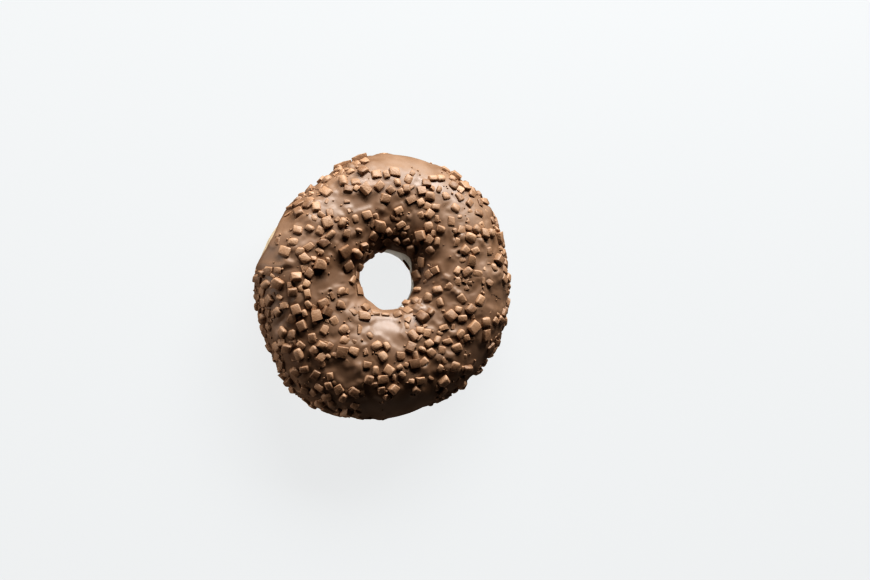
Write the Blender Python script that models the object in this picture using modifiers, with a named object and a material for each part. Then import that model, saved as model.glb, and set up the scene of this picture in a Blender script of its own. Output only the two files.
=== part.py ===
"""A ring doughnut dipped in milk chocolate and strewn with small chocolate blocks.

The ring lies flat on its bare back, with the dipped side up. Metres, +Z up, and the origin is
on the resting plane under the middle of the ring.
"""

import math
import random

import bmesh
import bpy
from mathutils import Matrix, Vector, noise

MM = 0.001
TURN = 2.0 * math.pi

# Driving dimensions of the fried ring
RING_DIAMETER = 85.0 * MM
HOLE_DIAMETER = 20.5 * MM
HOLE_SHIFT = Vector((0.2 * MM, 1.95 * MM))
DOUGH_HEIGHT = 25.5 * MM
WIDEST_HEIGHT = 12.4 * MM
FLATTENED = 0.9 * MM
SQUARENESS = 2.25
ROUND_STEPS = 52
TUBE_STEPS = 21
BLANK_RADIUS = 3.0
NEAR = 0.01

# Slow waves in the ring's outline: waves a turn, height, and where they start
OUTLINE_WAVES = (
    (1, 0.32 * MM, 1.25),
    (2, 1.77 * MM, -0.39),
    (3, 0.23 * MM, -1.80),
    (4, 0.78 * MM, 3.01),
    (5, 0.54 * MM, -0.42),
    (6, 0.46 * MM, -2.81),
)
HEIGHT_WAVES = ((2, 0.35 * MM, 1.9), (3, 0.30 * MM, 0.4))

# The dipped coat: how far it reaches round the tube, 0 at the outer side, 90 on top
COAT_THICKNESS = 1.5 * MM
COAT_GAP = 0.3 * MM
COAT_STEPS = 11
COAT_LIP = 0.55
SMOOTH_BELOW = math.radians(30.0)
OUTER_EDGE = math.radians(-13.0)
INNER_EDGE = math.radians(161.0)
OUTER_DRIPS = ((3, math.radians(4.0), 1.2), (7, math.radians(3.5), 0.3), (11, math.radians(2.0), 2.7))
INNER_DRIPS = ((2, math.radians(2.0), 0.6), (3, math.radians(2.0), 1.9), (7, math.radians(2.0), 5.0))
SHORT_DIP_BEARING = math.radians(160.0)
SHORT_DIP_WIDTH = math.radians(25.0)
SHORT_DIP_RISE = math.radians(34.0)

# The chocolate blocks strewn on the wet coat, largest first
BLOCKS_ON_RING = 280
BLOCK_SIZE = 3.05 * MM
BLOCK_SPREAD = 0.55 * MM
BLOCK_RANGE = (1.6 * MM, 4.8 * MM)
BLOCK_BREADTH = (0.68, 1.0)
BLOCK_HEIGHT = (0.46, 0.68)
BLOCK_DRAWS = 500
BLOCK_SINK = 0.9 * MM
BLOCK_TILT = math.radians(12.0)
BLOCK_TAPER = 0.2
BLOCK_SLANT = 0.12
BLOCK_SPACING = 0.94
EDGE_MARGIN = 1.5 * MM
DEEPEST = math.radians(154.0)
PATCH_WIDTH = 5.5 * MM
PATCH_LEAST = -0.22
TRIES = 60
SEED = 47

# Thin flakes stuck edge-on in the coat's outer side: bearing, tube angle, length, heading and pitch
FLAKES = (
    (math.radians(101.5), math.radians(14.0), 5.4 * MM, math.radians(6.0), math.radians(-6.0)),
    (math.radians(109.0), math.radians(10.0), 6.6 * MM, math.radians(-9.0), math.radians(-15.0)),
)
FLAKE_THICKNESS = 0.9 * MM
FLAKE_HEIGHT = 2.6 * MM
FLAKE_TIP = 0.6

# Spots that the blocks missed: across, up from the ring's middle, and radius
BARE_SPOTS = (
    (-3.0 * MM, 41.5 * MM, 3.6 * MM),
    (5.0 * MM, 43.0 * MM, 5.0 * MM),
    (13.0 * MM, 42.0 * MM, 5.0 * MM),
    (-12.0 * MM, 46.0 * MM, 4.4 * MM),
    (-38.3 * MM, 20.6 * MM, 6.0 * MM),
    (-41.0 * MM, 8.0 * MM, 3.6 * MM),
    (-17.9 * MM, 28.5 * MM, 2.6 * MM),
    (-11.0 * MM, 26.4 * MM, 3.0 * MM),
    (1.4 * MM, 28.0 * MM, 1.8 * MM),
    (18.4 * MM, 24.4 * MM, 2.3 * MM),
    (-20.3 * MM, 1.3 * MM, 3.8 * MM),
    (-24.8 * MM, -1.8 * MM, 2.4 * MM),
    (-13.5 * MM, -6.6 * MM, 2.6 * MM),
    (-0.3 * MM, -15.9 * MM, 4.0 * MM),
    (-11.5 * MM, -17.0 * MM, 2.6 * MM),
    (37.3 * MM, -3.7 * MM, 4.5 * MM),
    (30.1 * MM, -22.4 * MM, 4.2 * MM),
    (19.3 * MM, 6.1 * MM, 2.6 * MM),
    (31.0 * MM, 8.3 * MM, 1.8 * MM),
    (4.8 * MM, -41.0 * MM, 5.0 * MM),
    (-4.5 * MM, -41.5 * MM, 3.4 * MM),
    (12.5 * MM, -39.0 * MM, 3.6 * MM),
)


def clear_scene():
    for obj in list(bpy.data.objects):
        bpy.data.objects.remove(obj)


def finish(name, colour, roughness):
    """A plain dielectric finish in the part's own colour."""
    material = bpy.data.materials.new(name)
    material.use_nodes = True
    shader = material.node_tree.nodes["Principled BSDF"]
    shader.inputs["Base Color"].default_value = (*colour, 1.0)
    shader.inputs["Roughness"].default_value = roughness
    shader.inputs["Metallic"].default_value = 0.0
    return material


def waves(around, table):
    return sum(height * math.sin(count * around + start) for count, height, start in table)


def hole_radius(around):
    """Distance from the ring's axis to the wall of the hole, whose centre is a little off the axis."""
    facing = Vector((math.cos(around), math.sin(around)))
    along = HOLE_SHIFT.dot(facing)
    radius = HOLE_DIAMETER / 2
    return along + math.sqrt(radius * radius - HOLE_SHIFT.length_squared + along * along)


def dough_point(around, across):
    """A point of the dough's surface, by bearing round the ring and angle round its tube."""
    outer = RING_DIAMETER / 2 + waves(around, OUTLINE_WAVES)
    inner = hole_radius(around)
    half_width = (outer - inner) / 2
    top = DOUGH_HEIGHT - WIDEST_HEIGHT + waves(around, HEIGHT_WAVES)
    half_height = top if math.sin(across) > 0 else WIDEST_HEIGHT + FLATTENED
    reach = (
        abs(math.cos(across) / half_width) ** SQUARENESS + abs(math.sin(across) / half_height) ** SQUARENESS
    ) ** (-1 / SQUARENESS)
    radius = (outer + inner) / 2 + reach * math.cos(across)
    height = WIDEST_HEIGHT + reach * math.sin(across)
    return Vector((radius * math.cos(around), radius * math.sin(around), height))


def dough_normal(around, across):
    along = dough_point(around + NEAR, across) - dough_point(around - NEAR, across)
    over = dough_point(around, across + NEAR) - dough_point(around, across - NEAR)
    return along.cross(over).normalized()


def raised_point(around, across, lift):
    return dough_point(around, across) + lift * dough_normal(around, across)


def outer_edge(around):
    """Where the coat ends on the outer side; it stops short on one stretch."""
    turned = (around - SHORT_DIP_BEARING + math.pi) % TURN - math.pi
    rise = SHORT_DIP_RISE * math.exp(-((turned / SHORT_DIP_WIDTH) ** 2))
    return OUTER_EDGE + waves(around, OUTER_DRIPS) + rise


def inner_edge(around):
    return INNER_EDGE + waves(around, INNER_DRIPS)


def tube_angle(around, row):
    """Rows 0 to COAT_STEPS of the tube lie under the coat, and the rest are bare."""
    outer, inner = outer_edge(around), inner_edge(around)
    if row <= COAT_STEPS:
        return outer + (inner - outer) * row / COAT_STEPS
    return inner + (outer + TURN - inner) * (row - COAT_STEPS) / (TUBE_STEPS - COAT_STEPS)


def ring_mesh(name, collection):
    """A blank torus and, for each of its vertices, its bearing and its row round the tube."""
    bpy.ops.mesh.primitive_torus_add(
        major_segments=ROUND_STEPS, minor_segments=TUBE_STEPS, major_radius=BLANK_RADIUS, minor_radius=1.0
    )
    ring = bpy.context.active_object
    ring.name = ring.data.name = name
    for owner in list(ring.users_collection):
        owner.objects.unlink(ring)
    collection.objects.link(ring)
    places = []
    for vertex in ring.data.vertices:
        x, y, z = vertex.co
        turn = math.atan2(z, math.hypot(x, y) - BLANK_RADIUS) % TURN
        places.append((math.atan2(y, x), round(turn / TURN * TUBE_STEPS) % TUBE_STEPS))
    return ring, places


def make_dough(collection):
    ring, places = ring_mesh("dough", collection)
    for vertex, (around, row) in zip(ring.data.vertices, places):
        vertex.co = dough_point(around, tube_angle(around, row))
        vertex.co.z = max(vertex.co.z, 0.0)
    ring.data.materials.append(finish("fried_dough", (0.78, 0.52, 0.24), 0.6))
    ring.data.shade_smooth()
    return ring


def make_coat(collection):
    """The coat is the dough's own surface between the two edges, thickened outwards."""
    coat, places = ring_mesh("icing", collection)
    body = coat.vertex_groups.new(name="full_thickness")
    for vertex, (around, row) in zip(coat.data.vertices, places):
        vertex.co = raised_point(around, tube_angle(around, row), COAT_GAP)
        body.add([vertex.index], COAT_LIP if row in (0, COAT_STEPS) else 1.0, "REPLACE")
    shell = bmesh.new()
    shell.from_mesh(coat.data)
    shell.verts.ensure_lookup_table()
    bare = [shell.verts[i] for i, (_, row) in enumerate(places) if row > COAT_STEPS]
    bmesh.ops.delete(shell, geom=bare, context="VERTS")
    shell.to_mesh(coat.data)
    shell.free()
    solid = coat.modifiers.new("thickness", "SOLIDIFY")
    solid.thickness = COAT_THICKNESS
    solid.offset = 1.0
    solid.vertex_group = body.name
    solid.use_quality_normals = True
    bpy.context.view_layer.objects.active = coat
    bpy.ops.object.modifier_apply(modifier=solid.name)
    coat.data.materials.append(finish("milk_chocolate", (0.24, 0.13, 0.075), 0.35))
    return coat


def on_bare_spot(point, size):
    """Whether the blocks missed a place: one of the bare spots, or a gap between loose patches."""
    if noise.noise(point / PATCH_WIDTH) < PATCH_LEAST:
        return True
    return any(math.hypot(point.x - x, point.y - y) < radius + size / 3 for x, y, radius in BARE_SPOTS)


def strewn_blocks():
    """(bearing, tube angle, size, draws) of each block, largest first, none on another."""
    rng = random.Random(SEED)
    low, high = BLOCK_RANGE
    sizes = sorted(
        (min(high, max(low, rng.gauss(BLOCK_SIZE, BLOCK_SPREAD))) for _ in range(BLOCK_DRAWS)), reverse=True
    )
    lift = COAT_GAP + COAT_THICKNESS
    widest = RING_DIAMETER / 2 + lift
    tube = (RING_DIAMETER - HOLE_DIAMETER) / 4
    placed = []
    for size in sizes:
        for _ in range(TRIES):
            around = rng.uniform(0.0, TURN)
            margin = (EDGE_MARGIN + size / 4) / tube
            across = rng.uniform(outer_edge(around) + margin, DEEPEST)
            point = raised_point(around, across, lift)
            if rng.random() > math.hypot(point.x, point.y) / widest or on_bare_spot(point, size):
                continue
            if any((point - p).length < BLOCK_SPACING * (size + s) / 2 for p, s in placed):
                continue
            placed.append((point, size))
            yield around, across, size, [rng.random() for _ in range(8)]
            break


def standing(around, across):
    """Axes of a spot on the coat: round the ring, up the tube, and straight out."""
    out = dough_normal(around, across)
    along = Vector((-math.sin(around), math.cos(around), 0.0))
    along = (along - along.dot(out) * out).normalized()
    return Matrix((along, out.cross(along), out)).transposed()


def between(limits, share):
    low, high = limits
    return low + (high - low) * share


def block_matrix(around, across, size, draws):
    """Stands a block on the coat, spun and tilted, with its lowest corner sunk in."""
    stand = standing(around, across)
    up = stand.col[2]
    spin = Matrix.Rotation(TURN * draws[0], 3, "Z")
    lean = Matrix.Rotation(BLOCK_TILT * (2 * draws[1] - 1), 3, "X")
    sway = Matrix.Rotation(BLOCK_TILT * (2 * draws[2] - 1), 3, "Y")
    shape = size * Vector((1.0, between(BLOCK_BREADTH, draws[3]), between(BLOCK_HEIGHT, draws[4])))
    turned = stand @ lean @ sway @ spin
    lowest = min(
        up.dot(turned @ Vector((x * shape.x, y * shape.y, -shape.z)) / 2) for x in (-1, 1) for y in (-1, 1)
    )
    middle = raised_point(around, across, COAT_GAP + COAT_THICKNESS - BLOCK_SINK - lowest)
    return Matrix.Translation(middle) @ turned.to_4x4() @ Matrix.Diagonal((*shape, 1.0))


def block_mesh(name, placed):
    """A cut block: a cube that narrows and leans a little towards one end, so its faces stay flat."""
    draws = placed[3]
    narrow = Vector((1.0, 1.0)) - BLOCK_TAPER * Vector(draws[5:7])
    slant = BLOCK_SLANT * (2 * draws[7] - 1)
    cube = bmesh.new()
    bmesh.ops.create_cube(cube, size=1.0)
    for vertex in cube.verts:
        end = vertex.co.z + 0.5
        vertex.co.x *= 1 + (narrow.x - 1) * end
        vertex.co.y *= 1 + (narrow.y - 1) * end
        vertex.co.x += slant * end
    cube.transform(block_matrix(*placed))
    mesh = bpy.data.meshes.new(name)
    cube.to_mesh(mesh)
    cube.free()
    return mesh


def flake_mesh(name, around, across, length, heading, pitch):
    """A flake on edge: a thin slab that tapers to one end, with its lower side sunk in."""
    cube = bmesh.new()
    bmesh.ops.create_cube(cube, size=1.0)
    for vertex in cube.verts:
        vertex.co.z *= 1.0 if vertex.co.x < 0 else FLAKE_TIP
    lift = COAT_GAP + COAT_THICKNESS + FLAKE_HEIGHT / 2 - BLOCK_SINK
    turned = standing(around, across) @ Matrix.Rotation(heading, 3, "Z") @ Matrix.Rotation(pitch, 3, "Y")
    shape = Matrix.Diagonal((length, FLAKE_THICKNESS, FLAKE_HEIGHT, 1.0))
    cube.transform(Matrix.Translation(raised_point(around, across, lift)) @ turned.to_4x4() @ shape)
    mesh = bpy.data.meshes.new(name)
    cube.to_mesh(mesh)
    cube.free()
    return mesh


def strew_blocks(coat, scene):
    """Makes the flakes and the largest blocks, and joins them to the coat in one union."""
    blocks = bpy.data.collections.new("blocks")
    scene.collection.children.link(blocks)
    for index, placed in zip(range(BLOCKS_ON_RING), strewn_blocks()):
        mesh = block_mesh(f"block_{index:03d}", placed)
        blocks.objects.link(bpy.data.objects.new(mesh.name, mesh))
    for index, flake in enumerate(FLAKES):
        mesh = flake_mesh(f"flake_{index}", *flake)
        blocks.objects.link(bpy.data.objects.new(mesh.name, mesh))
    union = coat.modifiers.new("blocks", "BOOLEAN")
    union.operation = "UNION"
    union.operand_type = "COLLECTION"
    union.collection = blocks
    union.solver = "EXACT"
    bpy.context.view_layer.objects.active = coat
    bpy.ops.object.modifier_apply(modifier=union.name)
    for block in list(blocks.objects):
        bpy.data.objects.remove(block)
    bpy.data.collections.remove(blocks)


def keep_largest_shell(obj):
    """Fills the pinholes that touching blocks seal, by dropping every shell but the outer one."""
    shell = bmesh.new()
    shell.from_mesh(obj.data)
    unseen, shells = set(shell.verts), []
    while unseen:
        found, edge = set(), [unseen.pop()]
        while edge:
            vertex = edge.pop()
            found.add(vertex)
            fresh = {e.other_vert(vertex) for e in vertex.link_edges} & unseen
            unseen -= fresh
            edge.extend(fresh)
        shells.append(found)
    outer = max(shells, key=len)
    scraps = [vertex for vertex in shell.verts if vertex not in outer]
    bmesh.ops.delete(shell, geom=scraps, context="VERTS")
    shell.to_mesh(obj.data)
    shell.free()


def main():
    clear_scene()
    scene = bpy.context.scene
    doughnut = bpy.data.collections.new("doughnut")
    scene.collection.children.link(doughnut)
    make_dough(doughnut)
    coat = make_coat(doughnut)
    strew_blocks(coat, scene)
    keep_largest_shell(coat)
    coat.data.set_sharp_from_angle(angle=SMOOTH_BELOW)


main()
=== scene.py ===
import math
import random

import bmesh
import bpy
from mathutils import Matrix, Vector, noise
from mathutils.kdtree import KDTree


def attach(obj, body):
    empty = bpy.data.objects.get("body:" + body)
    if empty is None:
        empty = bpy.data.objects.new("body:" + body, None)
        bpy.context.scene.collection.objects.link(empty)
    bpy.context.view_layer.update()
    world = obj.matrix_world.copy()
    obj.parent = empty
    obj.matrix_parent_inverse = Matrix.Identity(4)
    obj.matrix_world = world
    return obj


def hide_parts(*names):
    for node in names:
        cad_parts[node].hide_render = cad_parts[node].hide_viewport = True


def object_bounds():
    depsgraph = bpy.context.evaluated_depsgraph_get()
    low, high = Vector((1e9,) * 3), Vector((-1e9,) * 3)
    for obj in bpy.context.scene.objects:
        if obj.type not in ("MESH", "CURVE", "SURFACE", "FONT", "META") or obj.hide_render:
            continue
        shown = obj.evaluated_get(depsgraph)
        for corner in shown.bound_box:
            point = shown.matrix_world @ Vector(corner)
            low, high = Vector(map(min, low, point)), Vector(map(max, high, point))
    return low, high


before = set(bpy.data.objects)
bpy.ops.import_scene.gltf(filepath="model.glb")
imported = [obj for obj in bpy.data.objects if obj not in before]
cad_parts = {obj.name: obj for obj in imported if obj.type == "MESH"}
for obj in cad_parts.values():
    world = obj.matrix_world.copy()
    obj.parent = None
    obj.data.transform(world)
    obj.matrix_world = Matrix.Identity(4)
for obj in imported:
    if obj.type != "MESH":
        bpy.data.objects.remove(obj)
cad_low, cad_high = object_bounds()

# The table top, the light and the camera. A wide soft window light comes in low over the far side
# of a plain pale table, with weaker light from the left and the near side. The camera looks almost
# straight down, from a little to the left and near side, so that the far wall of the hole shows.

MM = 0.001
TURN = 2.0 * math.pi
PHOTO_WIDTH = 870
PHOTO_HEIGHT = 580
SEEN_AT = (384.5, 285.5)
VIEW_FROM = Vector((-0.21, -0.12, 0.97)).normalized()
CAMERA_DISTANCE = 0.495
LENS = 60.0
ROOM_COLOUR = (1.0, 0.62, 0.36, 1.0)
ROOM_STRENGTH = 0.006
TABLE_REACH = 3.0
TABLE_COLOURS = ((0.0, (0.018, 0.019, 0.019)), (1.0, (0.024, 0.025, 0.025)))
TABLE_GLOW = (0.985, 0.995, 1.0, 1.0)
GLOW_STRENGTH = 0.50


def view_axes(back):
    """The camera's right and up, for the direction that it looks back along."""
    right = Vector((0, 1, 0)).cross(back).normalized()
    return right, back.cross(right)


scene = bpy.context.scene
camera_data = bpy.data.cameras.new("camera")
camera_data.lens = LENS
camera = bpy.data.objects.new("camera", camera_data)
scene.collection.objects.link(camera)
bpy.context.scene.camera = camera

middle = (cad_low + cad_high) / 2
pixel = CAMERA_DISTANCE * camera_data.sensor_width / LENS / PHOTO_WIDTH
right, up = view_axes(VIEW_FROM)
aim = middle + right * (PHOTO_WIDTH / 2 - SEEN_AT[0]) * pixel
aim -= up * (PHOTO_HEIGHT / 2 - SEEN_AT[1]) * pixel
place = middle + VIEW_FROM * CAMERA_DISTANCE
back = (place - aim).normalized()
camera.matrix_world = Matrix.Translation(place) @ Matrix((*view_axes(back), back)).transposed().to_4x4()

scene.view_settings.view_transform = "Standard"
scene.view_settings.look = "Very High Contrast"

world = bpy.data.worlds.new("room")
world.use_nodes = True
room = world.node_tree.nodes["Background"]
room.inputs["Color"].default_value = ROOM_COLOUR
room.inputs["Strength"].default_value = ROOM_STRENGTH
scene.world = world


def soft_light(name, position, size, watts, colour):
    """A rectangular soft light that faces the doughnut."""
    data = bpy.data.lights.new(name, "AREA")
    data.shape = "RECTANGLE"
    data.size, data.size_y = size
    data.energy = watts
    data.color = colour
    light = bpy.data.objects.new(name, data)
    scene.collection.objects.link(light)
    light.location = position
    light.rotation_euler = (middle - Vector(position)).to_track_quat("-Z", "Y").to_euler()


soft_light("window", (0.18, 0.75, 0.475), (0.95, 0.28), 16.6, (0.96, 1.0, 1.03))
soft_light("front_fill", (0.15, -0.85, 0.10), (0.80, 0.12), 0.5, (1.0, 0.88, 0.76))
soft_light("side_window", (-0.85, 0.08, 0.15), (0.45, 0.25), 2.6, (1.0, 1.0, 1.0))


def feed(node, inputs):
    """Gives inputs of a node, by name or number, a value or the output of another node."""
    for socket, value in inputs.items():
        if isinstance(value, bpy.types.NodeSocket):
            node.id_data.links.new(value, node.inputs[socket])
        else:
            node.inputs[socket].default_value = value


def add_node(tree, kind, inputs, **settings):
    """Adds a shader node with its settings and what its inputs get."""
    node = tree.nodes.new("ShaderNode" + kind)
    for setting, value in settings.items():
        setattr(node, setting, value)
    feed(node, inputs)
    return node


def new_material(name):
    """A material, its shader tree, its own shader, and the place of each spot on the piece."""
    material = bpy.data.materials.new(name)
    material.use_nodes = True
    tree = material.node_tree
    return material, tree, tree.nodes["Principled BSDF"], add_node(tree, "TexCoord", {}).outputs["Object"]


def ramp_colour(tree, share, stops):
    """A colour that runs through stops, each a share and the colour there."""
    ramp = add_node(tree, "ValToRGB", {"Fac": share})
    elements = ramp.color_ramp.elements
    for position, _ in stops[1:-1]:
        elements.new(position)
    for element, (position, colour) in zip(elements, stops):
        element.position = position
        element.color = (*colour, 1.0)
    return ramp.outputs["Color"]


table = bpy.data.meshes.new("table_top")
plane = bmesh.new()
bmesh.ops.create_grid(plane, x_segments=1, y_segments=1, size=TABLE_REACH)
plane.to_mesh(table)
plane.free()
table_top = bpy.data.objects.new("table_top", table)
scene.collection.objects.link(table_top)
table_top.visible_glossy = False

pale, tree, shader, spot = new_material("pale_table")
cloud = add_node(tree, "TexNoise", {"Vector": spot, "Scale": 3.0})
feed(shader, {
    "Base Color": ramp_colour(tree, cloud.outputs["Fac"], TABLE_COLOURS), "Roughness": 0.8,
    "Emission Color": TABLE_GLOW, "Emission Strength": GLOW_STRENGTH,
})
table.materials.append(pale)

# The ring of dough. Soft yeast dough is cut as a ring, proved and fried in deep fat on both sides:
# golden crust under and over, a pale band round the waist where it floated clear of the fat, and a
# pale wall in the hole, whose colour is pale dough with a painted cool cast of backlight. It flattens a
# little where it lies.

RING_DIAMETER = 85.0 * MM
HOLE_DIAMETER = 20.5 * MM
HOLE_SHIFT = Vector((0.2 * MM, 1.95 * MM))
DOUGH_HEIGHT = 25.5 * MM
WIDEST_HEIGHT = 12.4 * MM
FLATTENED = 0.9 * MM
SQUARENESS = 2.25
OUTLINE_WAVES = (
    (1, 0.32 * MM, 1.25), (2, 1.77 * MM, -0.39), (3, 0.23 * MM, -1.80), (4, 0.78 * MM, 3.01),
    (5, 0.54 * MM, -0.42), (6, 0.46 * MM, -2.81),
)
HEIGHT_WAVES = ((2, 0.35 * MM, 1.9), (3, 0.30 * MM, 0.4))
NEAR = 0.01
BLANK_RADIUS = 3.0
DOUGH_STEPS = (360, 150)
BLISTERS = ((6.0 * MM, 0.30 * MM), (2.2 * MM, 0.12 * MM), (0.9 * MM, 0.05 * MM))
BLISTER_SINK = 0.1 * MM
BACK_GRAIN_WIDTH = 1.5 * MM
BACK_GRAIN_DEPTH = 0.02 * MM
BROWNING = (
    (0.12, (0.34, 0.155, 0.045)), (0.28, (0.46, 0.24, 0.080)), (0.40, (0.53, 0.37, 0.20)),
    (0.50, (0.54, 0.43, 0.30)), (0.70, (0.53, 0.42, 0.29)), (0.80, (0.52, 0.36, 0.19)),
    (0.92, (0.46, 0.24, 0.085)),
)
BROWNING_HEIGHT = 30.0 * MM
BROWNING_DRIFT = 7.0 * MM
# The hole's wall is pale dough, painted a cool grey that stands for backlight falling on it.
HOLE_WALL_WITH_PAINTED_BACKLIGHT = (0.71, 0.69, 0.65, 1.0)
WALL_STARTS = 17.0 * MM
WALL_FULL = 13.0 * MM


def waves(around, waves_of):
    """The sum of a few waves round the ring, each with its count, height and start."""
    return sum(height * math.sin(count * around + start) for count, height, start in waves_of)


def hole_radius(around):
    """Distance from the ring's axis to the wall of the hole, whose centre is a little off the axis."""
    facing = Vector((math.cos(around), math.sin(around)))
    along = HOLE_SHIFT.dot(facing)
    radius = HOLE_DIAMETER / 2
    return along + math.sqrt(radius * radius - HOLE_SHIFT.length_squared + along * along)


def dough_point(around, across):
    """A point of the dough's surface, by bearing round the ring and angle round its tube."""
    outer = RING_DIAMETER / 2 + waves(around, OUTLINE_WAVES)
    inner = hole_radius(around)
    half_width = (outer - inner) / 2
    top = DOUGH_HEIGHT - WIDEST_HEIGHT + waves(around, HEIGHT_WAVES)
    half_height = top if math.sin(across) > 0 else WIDEST_HEIGHT + FLATTENED
    reach = (
        abs(math.cos(across) / half_width) ** SQUARENESS + abs(math.sin(across) / half_height) ** SQUARENESS
    ) ** (-1 / SQUARENESS)
    radius = (outer + inner) / 2 + reach * math.cos(across)
    height = WIDEST_HEIGHT + reach * math.sin(across)
    return Vector((radius * math.cos(around), radius * math.sin(around), height))


def dough_normal(around, across):
    """The direction straight out of the dough's surface."""
    along = dough_point(around + NEAR, across) - dough_point(around - NEAR, across)
    over = dough_point(around, across + NEAR) - dough_point(around, across - NEAR)
    return along.cross(over).normalized()


def raised_point(around, across, lift):
    """A point at a height over the dough's surface."""
    return dough_point(around, across) + lift * dough_normal(around, across)


def spun_ring(round_steps, tube_steps):
    """A blank torus spun from a circle, as (vertex, bearing, share of the way round the tube)."""
    ring = bmesh.new()
    upright = Matrix.Translation((BLANK_RADIUS, 0, 0)) @ Matrix.Rotation(math.pi / 2, 4, "X")
    bmesh.ops.create_circle(ring, segments=tube_steps, radius=1.0, matrix=upright)
    bmesh.ops.spin(
        ring, geom=ring.verts[:] + ring.edges[:], cent=(0, 0, 0), axis=(0, 0, 1),
        angle=TURN, steps=round_steps, use_merge=True,
    )
    places = []
    for vertex in ring.verts:
        x, y, z = vertex.co
        turn = math.atan2(z, math.hypot(x, y) - BLANK_RADIUS) / TURN % 1.0
        places.append((vertex, math.atan2(y, x), turn))
    return ring, places


def relief(point, layers):
    """Uneven height made of layers of soft noise, each with its width and its depth."""
    return sum(depth * noise.noise(point / width) for width, depth in layers)


def finished_piece(name, shape, material, slot, *nodes_replaced):
    """Turns a bmesh into a smooth piece that rides on the doughnut."""
    mesh = bpy.data.meshes.new(name)
    shape.to_mesh(mesh)
    shape.free()
    mesh.materials.append(material)
    mesh.shade_smooth()
    piece = bpy.data.objects.new(name, mesh)
    scene.collection.objects.link(piece)
    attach(piece, "root")
    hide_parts(*nodes_replaced)


def mixed_colour(tree, share, under, over):
    """A colour with another mixed over it by a share."""
    mix = add_node(tree, "Mix", {"Factor": share, "A": under, "B": over}, data_type="RGBA")
    return mix.outputs["Result"]


def bumped(tree, height, strength, distance):
    """The normals that a fine relief of this height gives."""
    return add_node(
        tree, "Bump", {"Height": height, "Strength": strength, "Distance": distance}
    ).outputs["Normal"]


crust_ring, places = spun_ring(*DOUGH_STEPS)
for vertex, around, turn in places:
    across = turn * TURN
    point = dough_point(around, across)
    point += dough_normal(around, across) * (relief(point, BLISTERS) - BLISTER_SINK)
    resting = BACK_GRAIN_DEPTH * noise.noise(point / BACK_GRAIN_WIDTH) + BACK_GRAIN_DEPTH
    point.z = max(point.z, resting)
    vertex.co = point
bmesh.ops.recalc_face_normals(crust_ring, faces=crust_ring.faces)

crust, tree, shader, spot = new_material("fried_crust")
height = add_node(tree, "SeparateXYZ", {"Vector": spot}).outputs["Z"]
wander = add_node(tree, "TexNoise", {"Vector": spot, "Scale": 90.0, "Detail": 5.0}).outputs["Fac"]
drift = add_node(tree, "Math", {0: wander, 1: BROWNING_DRIFT, 2: height}, operation="MULTIPLY_ADD")
rise = add_node(tree, "MapRange", {"Value": drift.outputs["Value"], "From Max": BROWNING_HEIGHT})
browned = ramp_colour(tree, rise.outputs["Result"], BROWNING)
level = add_node(tree, "VectorMath", {0: spot, 1: (1.0, 1.0, 0.0)}, operation="MULTIPLY")
from_axis = add_node(tree, "VectorMath", {0: level.outputs["Vector"]}, operation="LENGTH").outputs["Value"]
# Inside the hole the crust turns to the wall's colour: pale dough with painted cool backlight.
in_hole = add_node(tree, "MapRange", {"Value": from_axis, "From Min": WALL_STARTS, "From Max": WALL_FULL})
pores = add_node(tree, "TexNoise", {"Vector": spot, "Scale": 1400.0, "Detail": 6.0})
feed(shader, {
    "Base Color": mixed_colour(tree, in_hole.outputs["Result"], browned, HOLE_WALL_WITH_PAINTED_BACKLIGHT),
    "Roughness": 0.62, "Normal": bumped(tree, pores.outputs["Fac"], 0.5, 0.3 * MM),
})
finished_piece("dough_ring", crust_ring, crust, "dough", "dough")

# The milk chocolate coat. The ring is dipped top down in melted chocolate, which sets as a skin
# with a thick rolled edge. It is wavy where it ran, stops short on one side, climbs round the
# blocks that were dropped in while it was wet, and covers some of them.

COAT_LIFT = 1.8 * MM
OUTER_EDGE = math.radians(-13.0)
INNER_EDGE = math.radians(161.0)
OUTER_DRIPS = ((3, math.radians(4.0), 1.2), (7, math.radians(3.5), 0.3), (11, math.radians(2.0), 2.7))
INNER_DRIPS = ((2, math.radians(2.0), 0.6), (3, math.radians(2.0), 1.9), (7, math.radians(2.0), 5.0))
SHORT_DIP_BEARING = math.radians(160.0)
SHORT_DIP_WIDTH = math.radians(25.0)
SHORT_DIP_RISE = math.radians(34.0)
COAT_GRID = (520, 152)
TOP_ROWS = 120
LIP_ROWS = 6
LIP = 0.10
BEAD = 0.22 * MM
BEAD_PLACE = 1.3
UNDERSIDE = 0.05 * MM
LUMPS = ((10.0 * MM, 0.42 * MM), (4.5 * MM, 0.19 * MM))
CLIMB = 0.40 * MM
CLIMB_WIDTH = 1.10 * MM
REACH = 4.6 * MM
SKIN = 0.25 * MM
HUMP_BREADTH = 1.25
HUMP_SHARE = 0.8
PITS = ((22.8 * MM, 10.3 * MM, 1.1 * MM), (22.0 * MM, 15.8 * MM, 1.4 * MM), (-21.0 * MM, -4.0 * MM, 0.9 * MM))
PIT_REACH = 3.0
PIT_DEPTH = 0.75 * MM
PIT_BOWL = 0.62
PIT_RIM = 0.22 * MM
PIT_RIM_WIDTH = 0.45
COAT_BROWN = (0.200, 0.121, 0.074, 1.0)
COAT_BLOOM = (0.270, 0.174, 0.115, 1.0)
COAT_ROUGHNESS = (0.42, 0.62)
# A fine crack in the coat is only painted: a near-black line of painted shade where the split would be.
CRACK_START = (35.0 * MM, -2.2 * MM, 0.0)
CRACK_HEADING = math.radians(12.0)
CRACK_LENGTH = 4.6 * MM
CRACK_WANDER = 2.2 * MM
CRACK_FADES = 0.22 * MM
CRACK_FULL = 0.08 * MM
CRACK_PAINTED_SHADE = (0.020, 0.010, 0.006, 1.0)

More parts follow.
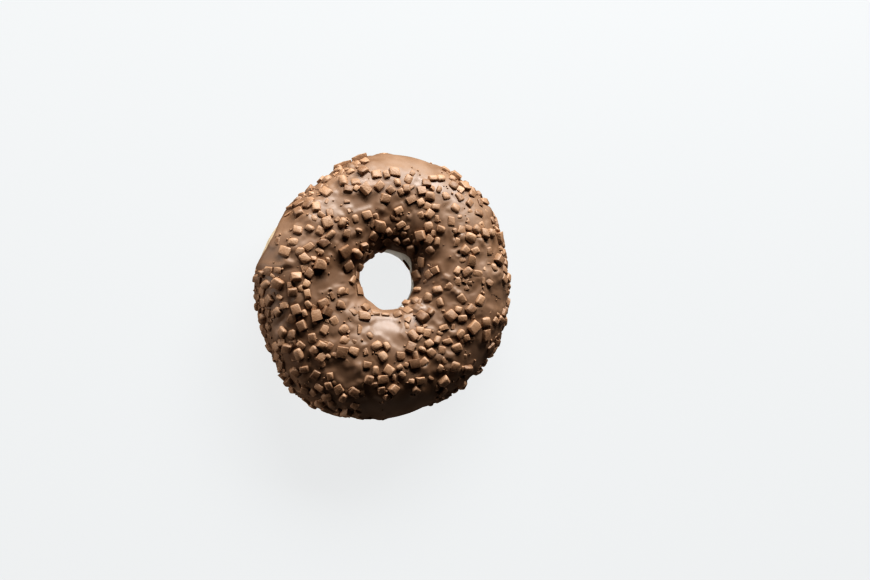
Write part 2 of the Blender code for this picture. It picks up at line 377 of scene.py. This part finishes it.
# The coat rises round the blocks, so the places where they fall are found here.
SEED = 47
LARGE_BLOCKS = 280
BLOCK_SIZE = 3.05 * MM
BLOCK_SPREAD = 0.55 * MM
BLOCK_RANGE = (1.6 * MM, 4.8 * MM)
BLOCK_BREADTH = (0.68, 1.0)
BLOCK_HEIGHT = (0.46, 0.68)
BLOCK_DRAWS = 500
BLOCK_SINK = 0.9 * MM
BLOCK_TILT = math.radians(12.0)
BLOCK_SPACING = 0.94
TRIES = 60
EDGE_MARGIN = 1.5 * MM
DEEPEST = math.radians(154.0)
PATCH_WIDTH = 5.5 * MM
PATCH_LEAST = -0.22
BARE_SPOTS = (
    (-3.0 * MM, 41.5 * MM, 3.6 * MM), (5.0 * MM, 43.0 * MM, 5.0 * MM), (13.0 * MM, 42.0 * MM, 5.0 * MM),
    (-12.0 * MM, 46.0 * MM, 4.4 * MM), (-38.3 * MM, 20.6 * MM, 6.0 * MM), (-41.0 * MM, 8.0 * MM, 3.6 * MM),
    (-17.9 * MM, 28.5 * MM, 2.6 * MM), (-11.0 * MM, 26.4 * MM, 3.0 * MM), (1.4 * MM, 28.0 * MM, 1.8 * MM),
    (18.4 * MM, 24.4 * MM, 2.3 * MM), (-20.3 * MM, 1.3 * MM, 3.8 * MM), (-24.8 * MM, -1.8 * MM, 2.4 * MM),
    (-13.5 * MM, -6.6 * MM, 2.6 * MM), (-0.3 * MM, -15.9 * MM, 4.0 * MM), (-11.5 * MM, -17.0 * MM, 2.6 * MM),
    (37.3 * MM, -3.7 * MM, 4.5 * MM), (30.1 * MM, -22.4 * MM, 4.2 * MM), (19.3 * MM, 6.1 * MM, 2.6 * MM),
    (31.0 * MM, 8.3 * MM, 1.8 * MM), (4.8 * MM, -41.0 * MM, 5.0 * MM), (-4.5 * MM, -41.5 * MM, 3.4 * MM),
    (12.5 * MM, -39.0 * MM, 3.6 * MM),
)
SMALL_BLOCKS = 400
SMALL_SIZE = 2.3 * MM
SMALL_SPACING = 0.84
SMALL_TRIES = 40
SMALL_VARIETY = 1.7
RIM_BLOCKS = 190
RIM_SIZE = 1.9 * MM
RIM_REACH = math.radians(42.0)
COVERED_SHARE = 0.15
FLAKES = (
    (math.radians(101.5), math.radians(14.0), 5.4 * MM, math.radians(6.0), math.radians(-6.0)),
    (math.radians(109.0), math.radians(10.0), 6.6 * MM, math.radians(-9.0), math.radians(-15.0)),
)
FLAKE_CLEARANCE = 1.0 * MM


def outer_edge(around):
    """Where the coat ends on the outer side; it stops short on one stretch."""
    turned = (around - SHORT_DIP_BEARING + math.pi) % TURN - math.pi
    rise = SHORT_DIP_RISE * math.exp(-((turned / SHORT_DIP_WIDTH) ** 2))
    return OUTER_EDGE + waves(around, OUTER_DRIPS) + rise


def inner_edge(around):
    """Where the coat ends in the hole."""
    return INNER_EDGE + waves(around, INNER_DRIPS)


def on_bare_spot(point, size):
    """Whether the blocks missed a place: one of the bare spots, or a gap between loose patches."""
    if noise.noise(point / PATCH_WIDTH) < PATCH_LEAST:
        return True
    return any(math.hypot(point.x - x, point.y - y) < radius + size / 3 for x, y, radius in BARE_SPOTS)


def drop_block(rng, size, spacing, tries, placed, furthest=DEEPEST):
    """Tries to find a free place for a block: (bearing, tube angle, size, draws), or None."""
    tube = (RING_DIAMETER - HOLE_DIAMETER) / 4
    for _ in range(tries):
        around = rng.uniform(0.0, TURN)
        margin = (EDGE_MARGIN + size / 4) / tube
        across = rng.uniform(outer_edge(around) + margin, furthest)
        point = raised_point(around, across, COAT_LIFT)
        wanted = math.hypot(point.x, point.y) / (RING_DIAMETER / 2 + COAT_LIFT)
        if rng.random() > wanted or on_bare_spot(point, size):
            continue
        if any((point - p).length < spacing * (size + s) / 2 for p, s in placed):
            continue
        placed.append((point, size))
        return around, across, size, [rng.random() for _ in range(8)]
    return None


def strewn_blocks():
    """The large blocks, largest first, then small ones that fill the gaps, with more at the rim."""
    rng = random.Random(SEED)
    low, high = BLOCK_RANGE
    sizes = sorted(
        (min(high, max(low, rng.gauss(BLOCK_SIZE, BLOCK_SPREAD))) for _ in range(BLOCK_DRAWS)), reverse=True
    )
    placed, large, small = [], [], []
    for size in sizes:
        found = drop_block(rng, size, BLOCK_SPACING, TRIES, placed)
        if found:
            large.append(found)
        if len(large) == LARGE_BLOCKS:
            break
    fillers = [(SMALL_SIZE, DEEPEST)] * SMALL_BLOCKS + [(RIM_SIZE, RIM_REACH)] * RIM_BLOCKS
    for typical, furthest in fillers:
        size = min(high, max(low, rng.gauss(typical, BLOCK_SPREAD)))
        found = drop_block(rng, size, SMALL_SPACING, SMALL_TRIES, placed, furthest)
        if found:
            found[3][1:5] = [SMALL_VARIETY * (draw - 0.5) + 0.5 for draw in found[3][1:5]]
            small.append(found)
    return large, small


def clear_of_flakes(around, across):
    """Whether a small block lies off the long flakes at the far rim, which stand out."""
    point = raised_point(around, across, COAT_LIFT)
    return all(
        (point - raised_point(bearing, up_tube, COAT_LIFT)).length > length / 2 + FLAKE_CLEARANCE
        for bearing, up_tube, length, _, _ in FLAKES
    )


def standing(around, across):
    """Axes of a spot on the coat: round the ring, up the tube, and straight out."""
    out = dough_normal(around, across)
    along = Vector((-math.sin(around), math.cos(around), 0.0))
    along = (along - along.dot(out) * out).normalized()
    return Matrix((along, out.cross(along), out)).transposed()


def between(limits, share):
    """The value at a share of the way from the lower to the upper limit."""
    low, high = limits
    return low + (high - low) * share


def block_stand(around, across, size, draws):
    """Stands a block on the coat, spun and tilted, with its lowest corner sunk in: place and size."""
    stand = standing(around, across)
    out = stand.col[2]
    spin = Matrix.Rotation(TURN * draws[0], 3, "Z")
    lean = Matrix.Rotation(BLOCK_TILT * (2 * draws[1] - 1), 3, "X")
    sway = Matrix.Rotation(BLOCK_TILT * (2 * draws[2] - 1), 3, "Y")
    shape = size * Vector((1.0, between(BLOCK_BREADTH, draws[3]), between(BLOCK_HEIGHT, draws[4])))
    turned = stand @ lean @ sway @ spin
    lowest = min(
        out.dot(turned @ Vector((x * shape.x, y * shape.y, -shape.z)) / 2) for x in (-1, 1) for y in (-1, 1)
    )
    spot = raised_point(around, across, COAT_LIFT - BLOCK_SINK - lowest)
    return Matrix.Translation(spot) @ turned.to_4x4(), shape


large_blocks, small_blocks = strewn_blocks()
small_blocks = [block for block in small_blocks if clear_of_flakes(*block[:2])]
covered_blocks = small_blocks[: int(len(small_blocks) * COVERED_SHARE)]
bare_blocks = large_blocks + small_blocks[len(covered_blocks):]

stood = []
near_blocks = KDTree(len(large_blocks) + len(small_blocks))
for block in large_blocks + small_blocks:
    stand, shape = block_stand(*block)
    near_blocks.insert(stand.translation, len(stood))
    stood.append((stand.inverted(), shape, block in covered_blocks))
near_blocks.balance()


def climb_at(point):
    """How far the coat rises between and round the blocks near a point, or over one that it covers."""
    level, hump = 1.0, 0.0
    for _, index, _ in near_blocks.find_range(point, REACH):
        inverse, shape, covered = stood[index]
        x, y, _ = inverse @ point
        if covered:
            off = (abs(2 * x / shape.x) ** 4 + abs(2 * y / shape.y) ** 4) ** (1 / 4) / HUMP_BREADTH
            hump = max(hump, HUMP_SHARE * (shape.z - BLOCK_SINK + SKIN) / (1 + off ** 4))
            continue
        gap = math.hypot(max(abs(x) - shape.x / 2, 0), max(abs(y) - shape.y / 2, 0))
        level *= 1 - math.exp(-((gap / CLIMB_WIDTH) ** 2))
    return hump + CLIMB * (1 - level)


def pit_at(point):
    """Small craters where an air bubble burst in the wet chocolate."""
    change = 0.0
    for x, y, radius in PITS:
        off = math.hypot(point.x - x, point.y - y) / radius
        if off < PIT_REACH and point.z > WIDEST_HEIGHT:
            rim = PIT_RIM * math.exp(-((off - 1.0) / PIT_RIM_WIDTH) ** 2)
            change += rim - PIT_DEPTH * math.exp(-(off / PIT_BOWL) ** 2)
    return change


def coat_place(around, row):
    """Tube angle and share of the full thickness, for a row of the coat's closed section."""
    outer, inner = outer_edge(around), inner_edge(around)
    if row > TOP_ROWS:
        return inner + (outer - inner) * (row - TOP_ROWS) / (COAT_GRID[1] - TOP_ROWS), 0.0
    from_end = min(row, TOP_ROWS - row)
    if from_end >= LIP_ROWS:
        share = (row - LIP_ROWS) / (TOP_ROWS - 2 * LIP_ROWS)
        return outer + LIP + (inner - outer - 2 * LIP) * share, 1.0
    swing = from_end / LIP_ROWS * math.pi / 2
    inset = LIP * (1 - math.cos(swing))
    return (outer + inset if row < LIP_ROWS else inner - inset), math.sin(swing)


def coat_top(around, across):
    """Height of the coat's upper surface over the dough: bead, lumps, pits, and blocks it climbs."""
    surface = raised_point(around, across, COAT_LIFT)
    from_edge = min(across - outer_edge(around), inner_edge(around) - across) / LIP
    bead = BEAD * math.exp(-((from_edge - BEAD_PLACE) ** 2))
    return COAT_LIFT + bead + relief(surface, LUMPS) + climb_at(surface) + pit_at(surface)


coat, places = spun_ring(*COAT_GRID)
for vertex, around, turn in places:
    row = round(turn * COAT_GRID[1]) % COAT_GRID[1]
    across, body = coat_place(around, row)
    point, out = dough_point(around, across), dough_normal(around, across)
    if body == 0.0:
        vertex.co = point + out * UNDERSIDE
        continue
    vertex.co = point + out * (UNDERSIDE + body * (coat_top(around, across) - UNDERSIDE))
bmesh.ops.recalc_face_normals(coat, faces=coat.faces)


def node_group(name, ins, outs):
    """A new shader group with named inputs (name, kind, value) and outputs: group, inputs, end node."""
    group = bpy.data.node_groups.new(name, "ShaderNodeTree")
    for label, kind, value in ins:
        socket = group.interface.new_socket(label, in_out="INPUT", socket_type=kind)
        if value is not None:
            socket.default_value = value
    for label, kind in outs:
        group.interface.new_socket(label, in_out="OUTPUT", socket_type=kind)
    return group, group.nodes.new("NodeGroupInput").outputs, group.nodes.new("NodeGroupOutput")


def worked_out(tree, operation, *values):
    """The result of a sum on shader values."""
    return add_node(tree, "Math", dict(enumerate(values)), operation=operation).outputs["Value"]


bloom_group, given, result = node_group(
    "chocolate_bloom",
    (("Vector", "NodeSocketVector", None), ("Body", "NodeSocketColor", None),
     ("Bloom", "NodeSocketColor", None), ("Cloud", "NodeSocketFloat", 120.0),
     ("Grain", "NodeSocketFloat", 2200.0), ("Amount", "NodeSocketFloat", 0.5)),
    (("Color", "NodeSocketColor"), ("Height", "NodeSocketFloat"), ("Cloudiness", "NodeSocketFloat")),
)
place = given["Vector"]
cloud = add_node(bloom_group, "TexNoise", {"Vector": place, "Scale": given["Cloud"], "Detail": 4.0})
grain = add_node(bloom_group, "TexNoise", {"Vector": place, "Scale": given["Grain"], "Detail": 3.0})
spread = add_node(
    bloom_group, "MapRange", {"Value": cloud.outputs["Fac"], "From Min": 0.35, "From Max": 0.68}
).outputs["Result"]
share = worked_out(bloom_group, "MULTIPLY", spread, given["Amount"])
feed(result, {
    "Color": mixed_colour(bloom_group, share, given["Body"], given["Bloom"]),
    "Height": grain.outputs["Fac"], "Cloudiness": spread,
})

crack_group, given, result = node_group(
    "fine_crack",
    (("Vector", "NodeSocketVector", None), ("Start", "NodeSocketVector", None),
     ("Heading", "NodeSocketFloat", 0.0), ("Length", "NodeSocketFloat", 4.0 * MM)),
    (("Mask", "NodeSocketFloat"),),
)
from_start = add_node(
    crack_group, "VectorMath", {0: given["Vector"], 1: given["Start"]}, operation="SUBTRACT"
)
lined_up = add_node(
    crack_group, "VectorRotate", {"Vector": from_start.outputs["Vector"], "Angle": given["Heading"]},
    rotation_type="Z_AXIS",
)
along_crack = add_node(crack_group, "SeparateXYZ", {"Vector": lined_up.outputs["Vector"]}).outputs
jagged = add_node(crack_group, "TexNoise", {"Vector": given["Vector"], "Scale": 700.0}).outputs["Fac"]
wandering = worked_out(crack_group, "MULTIPLY_ADD", jagged, CRACK_WANDER, along_crack["Y"])
beside = worked_out(crack_group, "ABSOLUTE", wandering)
thin = add_node(crack_group, "MapRange", {"Value": beside, "From Min": CRACK_FADES, "From Max": CRACK_FULL})
ahead = worked_out(crack_group, "GREATER_THAN", along_crack["X"], 0.0)
within = worked_out(crack_group, "LESS_THAN", along_crack["X"], given["Length"])
on_line = worked_out(crack_group, "MULTIPLY", ahead, within)
feed(result, {"Mask": worked_out(crack_group, "MULTIPLY", on_line, thin.outputs["Result"])})

chocolate, tree, shader, spot = new_material("set_milk_chocolate")
bloom = add_node(tree, "Group", {
    "Vector": spot, "Body": COAT_BROWN, "Bloom": COAT_BLOOM, "Cloud": 110.0, "Grain": 900.0, "Amount": 0.6,
}, node_tree=bloom_group)
crack = add_node(tree, "Group", {
    "Vector": spot, "Start": CRACK_START, "Heading": CRACK_HEADING, "Length": CRACK_LENGTH,
}, node_tree=crack_group)
dull = add_node(tree, "MapRange", {
    "Value": bloom.outputs["Cloudiness"], "To Min": COAT_ROUGHNESS[0], "To Max": COAT_ROUGHNESS[1],
})
# The crack's painted shade is mixed over the coat's colour along the crack line.
feed(shader, {
    "Base Color": mixed_colour(tree, crack.outputs["Mask"], bloom.outputs["Color"], CRACK_PAINTED_SHADE),
    "Roughness": dull.outputs["Result"], "Normal": bumped(tree, bloom.outputs["Height"], 0.12, 0.2 * MM),
})
finished_piece("chocolate_coat", coat, chocolate, "icing", "icing")

# The chocolate blocks. Slabs of milk chocolate are cut into little blocks that tumble together,
# so their corners are rounded and some are chipped; their rounded edges are painted paler. They were
# dropped on the coat while it was wet, and it holds them by their lower ends.

BLOCK_TAPER = 0.2
BLOCK_SLANT = 0.12
UNEVEN = 0.09
ROUNDING = (0.13, 0.27)
CHIPPED_SHARE = 0.5
CHIP_DEPTH = (0.14, 0.36)
CHIP_LOWEST = 0.2
CHIP_SLANT = 0.25
DENTS = 0.065
DENTS_ACROSS = 2
DENT_PLACES = 90
FLAT_AREA = 0.22
TYPICAL_TONE = 0.48
TONE_SPREAD = 0.30
BLOCK_BROWNS = ((0.0, (0.170, 0.093, 0.051)), (1.0, (0.375, 0.231, 0.141)))
BLOCK_BLOOM = (0.365, 0.232, 0.148, 1.0)
# All the blocks' rounded edges are painted this paler brown.
PALER_EDGE_COLOUR = (0.450, 0.298, 0.196, 1.0)
PALER_EDGE_SHARE = 0.35


def random_step(rng, reach):
    """A random step of up to reach along each axis."""
    return Vector([rng.uniform(-reach, reach) for _ in range(3)])


def cut_block(rng, draws):
    """A block of unit size before it is worn: uneven, narrower at one end, often with a corner off."""
    cube = bmesh.new()
    bmesh.ops.create_cube(cube, size=1.0)
    slant = BLOCK_SLANT * (2 * draws[7] - 1)
    for vertex in cube.verts:
        end = vertex.co.z + 0.5
        vertex.co.x *= 1 - BLOCK_TAPER * draws[5] * end
        vertex.co.y *= 1 - BLOCK_TAPER * draws[6] * end
        vertex.co.x += slant * end
        vertex.co += UNEVEN * random_step(rng, 1)
    if rng.random() < CHIPPED_SHARE:
        corner = Vector((rng.choice((-1, 1)), rng.choice((-1, 1)), rng.uniform(CHIP_LOWEST, 1))) / 2
        slope = corner + random_step(rng, CHIP_SLANT)
        bmesh.ops.bisect_plane(
            cube, geom=cube.verts[:] + cube.edges[:] + cube.faces[:],
            plane_co=corner * (1 - between(CHIP_DEPTH, rng.random())), plane_no=slope, clear_outer=True,
        )
        bmesh.ops.holes_fill(cube, edges=[edge for edge in cube.edges if edge.is_boundary])
    return cube


def worn_block(rng, around, across, size, draws):
    """A finished block in its place, whose rounded edges and own shade of brown are marked."""
    cube = cut_block(rng, draws)
    stand, shape = block_stand(around, across, size, draws)
    cube.transform(Matrix.Diagonal((*shape, 1.0)))
    bmesh.ops.bevel(
        cube, geom=cube.edges[:], offset=size * between(ROUNDING, rng.random()), offset_type="OFFSET",
        affect="EDGES", segments=2, profile=0.5, material=-1, clamp_overlap=True,
    )
    rounded, tone = (cube.verts.layers.float.new(name) for name in ("rounded", "tone"))
    shade = min(1.0, max(0.0, rng.gauss(TYPICAL_TONE, TONE_SPREAD)))
    dents_from = Vector([rng.uniform(0, DENT_PLACES) for _ in range(3)])
    flat = FLAT_AREA * shape.x * shape.z
    for vertex in cube.verts:
        vertex[rounded] = 0.0 if any(face.calc_area() > flat for face in vertex.link_faces) else 1.0
        vertex[tone] = shade
        vertex.co += DENTS * size * noise.noise_vector(vertex.co / size * DENTS_ACROSS + dents_from)
    cube.transform(stand)
    return cube


def add_shape(target, shape):
    """Adds a finished shape to those of one piece."""
    mesh = bpy.data.meshes.new("mould")
    shape.to_mesh(mesh)
    shape.free()
    target.from_mesh(mesh)
    bpy.data.meshes.remove(mesh)


rng = random.Random(SEED + 1)
# The dents' noise has a seed of its own, and without it they differ a little from run to run.
noise.seed_set(SEED + 1)
blocks = bmesh.new()
for block in bare_blocks:
    add_shape(blocks, worn_block(rng, *block))
bmesh.ops.recalc_face_normals(blocks, faces=blocks.faces)

cut_chocolate, tree, shader, spot = new_material("cut_milk_chocolate")
tone = add_node(tree, "Attribute", {}, attribute_name="tone").outputs["Fac"]
rounded = add_node(tree, "Attribute", {}, attribute_name="rounded").outputs["Fac"]
bloom = add_node(tree, "Group", {
    "Vector": spot, "Body": ramp_colour(tree, tone, BLOCK_BROWNS), "Bloom": BLOCK_BLOOM,
    "Cloud": 620.0, "Grain": 1800.0, "Amount": 0.5,
}, node_tree=bloom_group)
# The rounded edges get the paler brown mixed over their colour.
edge_share = worked_out(tree, "MULTIPLY", rounded, PALER_EDGE_SHARE)
feed(shader, {
    "Base Color": mixed_colour(tree, edge_share, bloom.outputs["Color"], PALER_EDGE_COLOUR),
    "Roughness": 0.55, "Normal": bumped(tree, bloom.outputs["Height"], 0.70, 0.2 * MM),
})
finished_piece("chocolate_blocks", blocks, cut_chocolate, "chocolate_blocks", "icing")

# Flakes and crumbs. Thin slivers split off the slab as it was cut, and fine crumbs came with the
# blocks. They lie between them, some crumbs in two small heaps. Two long flakes stand on edge at
# the far rim, and a smear of chocolate stuck to the bare wall of the hole.

FLAKE_THICKNESS = 0.9 * MM
FLAKE_HEIGHT = 2.6 * MM
FLAKE_TIP = 0.6
FLAKE_BEND = 0.5
FLAKE_UNEVEN = 0.06
FLAKE_BEVEL = 0.05
FLAKE_TONES = (0.25, 0.85)
SLIVERS = 46
SLIVER_MM = ((1.5, 2.9), (0.35, 0.6), (1.0, 1.9))  # length, thickness, breadth
SLIVER_MARGIN = 0.2
SLIVER_TILT = 0.35
SLIVER_LIFT = 0.12 * MM
LAID_FLAT = math.pi / 2
SMEAR_SPOT = (math.radians(44.0), math.radians(180.0))
SMEAR_SIZE = (3.8 * MM, 0.40 * MM, 1.3 * MM)
SMEAR_LIFT = 0.15 * MM
SMEAR_TONES = (0.0, 0.1)
CRUMBS = 430
CRUMB_SIZE = (0.20 * MM, 0.55 * MM)
CRUMB_REACH = 2.2 * MM
CRUMB_MARGIN = 0.1
CRUMB_LIFT = 0.1 * MM
CRUMB_SQUASH = (0.6, 1.3)
CRUMB_UNEVEN = (0.75, 1.25)
CRUMB_TONES = (0.3, 1.0)
HEAPS = ((math.radians(129.0), math.radians(92.0)), (math.radians(-92.0), math.radians(45.0)))
HEAP_CRUMBS = 11
HEAP_CRUMB_SIZE = (0.35 * MM, 0.70 * MM)
HEAP_TONES = (0.85, 1.0)
HEAP_SPREAD = 1.1 * MM
HEAP_SLOPE = 0.7
HEAP_HEIGHT = 1.0 * MM
RADIUS_AT_RIM = RING_DIAMETER / 2
RADIUS_AT_TOP = RING_DIAMETER / 3
TUBE_RADIUS = RING_DIAMETER / 5


def coat_spot(rng):
    """A random spot on the coat, clear of its edges: bearing and tube angle."""
    around = rng.uniform(0.0, TURN)
    across = rng.uniform(outer_edge(around) + SLIVER_MARGIN, inner_edge(around) - SLIVER_MARGIN)
    return around, across


def spot_by_block(rng):
    """A random spot close to one of the blocks, where crumbs gather."""
    around, across, _, _ = rng.choice(bare_blocks)
    around += rng.gauss(0, CRUMB_REACH) / RADIUS_AT_RIM
    across += rng.gauss(0, CRUMB_REACH) / TUBE_RADIUS
    return around, min(max(across, outer_edge(around) + CRUMB_MARGIN), inner_edge(around) - CRUMB_MARGIN)


def add_flake(target, rng, lift, around, across, size, heading, pitch=0.0, lean=0.0, tones=FLAKE_TONES):
    """A thin slab, tapered to one end, bent a little and rough along its edges."""
    slab = bmesh.new()
    bmesh.ops.create_cube(slab, size=1.0)
    lengthwise = [edge for edge in slab.edges if abs((edge.verts[0].co - edge.verts[1].co).x) > 0.5]
    bmesh.ops.subdivide_edges(slab, edges=lengthwise, cuts=4)
    bend = rng.uniform(-FLAKE_BEND, FLAKE_BEND)
    tone, shade = slab.verts.layers.float.new("tone"), rng.uniform(*tones)
    for vertex in slab.verts:
        vertex[tone] = shade
        vertex.co.z *= 1.0 if vertex.co.x < 0 else 1 - (1 - FLAKE_TIP) * 2 * vertex.co.x
        vertex.co.y += bend * (vertex.co.x ** 2 - 0.5 ** 2)
        vertex.co += FLAKE_UNEVEN * random_step(rng, 1)
    bmesh.ops.bevel(
        slab, geom=slab.edges[:], offset=FLAKE_BEVEL, offset_type="OFFSET", affect="EDGES", segments=1,
        profile=0.5, material=-1, clamp_overlap=True,
    )
    turned = standing(around, across) @ Matrix.Rotation(heading, 3, "Z")
    turned = turned @ Matrix.Rotation(pitch, 3, "Y") @ Matrix.Rotation(lean, 3, "X")
    spot = Matrix.Translation(raised_point(around, across, lift))
    slab.transform(spot @ turned.to_4x4() @ Matrix.Diagonal((*size, 1.0)))
    add_shape(target, slab)


def add_crumb(target, rng, around, across, size, piled=0.0, tones=CRUMB_TONES):
    """An uneven crumb on the coat or on a heap, with its own shade of brown."""
    lift = coat_top(around, across) + CRUMB_LIFT + piled
    spot = Matrix.Translation(raised_point(around, across, lift))
    grown = bmesh.ops.create_icosphere(target, subdivisions=1, radius=size, matrix=spot)
    squash = Vector([rng.uniform(*CRUMB_SQUASH) for _ in range(3)])
    tone, shade = target.verts.layers.float["tone"], rng.uniform(*tones)
    for vertex in grown["verts"]:
        vertex[tone] = shade
        off = vertex.co - spot.translation
        off = Vector((off.x * squash.x, off.y * squash.y, off.z * squash.z)) * rng.uniform(*CRUMB_UNEVEN)
        vertex.co = spot.translation + off


rng = random.Random(SEED + 2)
flakes = bmesh.new()
flake_lift = COAT_LIFT + FLAKE_HEIGHT / 2 - BLOCK_SINK
for around, across, length, heading, pitch in FLAKES:
    size = (length, FLAKE_THICKNESS, FLAKE_HEIGHT)
    add_flake(flakes, rng, flake_lift, around, across, size, heading, pitch)
for _ in range(SLIVERS):
    size = [rng.uniform(*limits) * MM for limits in SLIVER_MM]
    around, across = coat_spot(rng)
    lift = coat_top(around, across) + SLIVER_LIFT
    lean = LAID_FLAT + rng.uniform(-SLIVER_TILT, SLIVER_TILT)
    add_flake(flakes, rng, lift, around, across, size, rng.uniform(0.0, TURN), lean=lean)
add_flake(flakes, rng, SMEAR_LIFT, *SMEAR_SPOT, SMEAR_SIZE, 0.0, lean=LAID_FLAT, tones=SMEAR_TONES)
finished_piece("chocolate_flakes", flakes, cut_chocolate, "chocolate_blocks", "icing")

crumbs = bmesh.new()
crumbs.verts.layers.float.new("tone")
for _ in range(CRUMBS):
    around, across = spot_by_block(rng)
    add_crumb(crumbs, rng, around, across, between(CRUMB_SIZE, rng.random() ** 2))
for around, across in HEAPS:
    for number in range(HEAP_CRUMBS):
        share = number / HEAP_CRUMBS
        spread = HEAP_SPREAD * (1 - HEAP_SLOPE * share)
        beside = around + rng.gauss(0, spread) / RADIUS_AT_TOP
        above = across + rng.gauss(0, spread) / TUBE_RADIUS
        size = between(HEAP_CRUMB_SIZE, rng.random())
        add_crumb(crumbs, rng, beside, above, size, share * HEAP_HEIGHT, HEAP_TONES)
finished_piece("chocolate_crumbs", crumbs, cut_chocolate, "chocolate_blocks", "icing")
